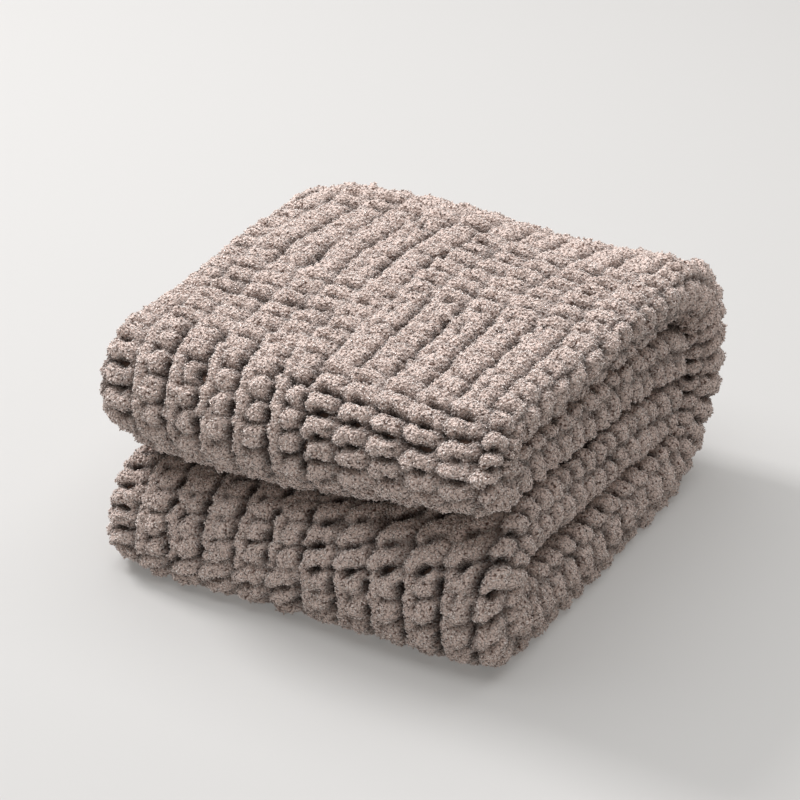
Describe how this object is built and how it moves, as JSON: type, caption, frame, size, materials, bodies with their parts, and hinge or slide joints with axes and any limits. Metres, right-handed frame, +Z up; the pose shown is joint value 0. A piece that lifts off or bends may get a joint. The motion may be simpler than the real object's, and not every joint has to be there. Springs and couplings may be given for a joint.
{
  "type": "knit blanket",
  "caption": "Chunky basket-weave knitted chenille blanket, folded into a thick square pile with rolled front edges and a round back.",
  "frame": {"origin": "on the floor under the middle of the folded pile", "axes": "+Z up, +Y towards the round back of the pile, +X towards the round side folds of the layers"},
  "size_m": [0.4474, 0.5108, 0.2681],
  "materials": {
    "chenille": "matte pile"
  },
  "bodies": {
    "root": {"knit_blanket": "chenille"}
  },
  "joints": []
}
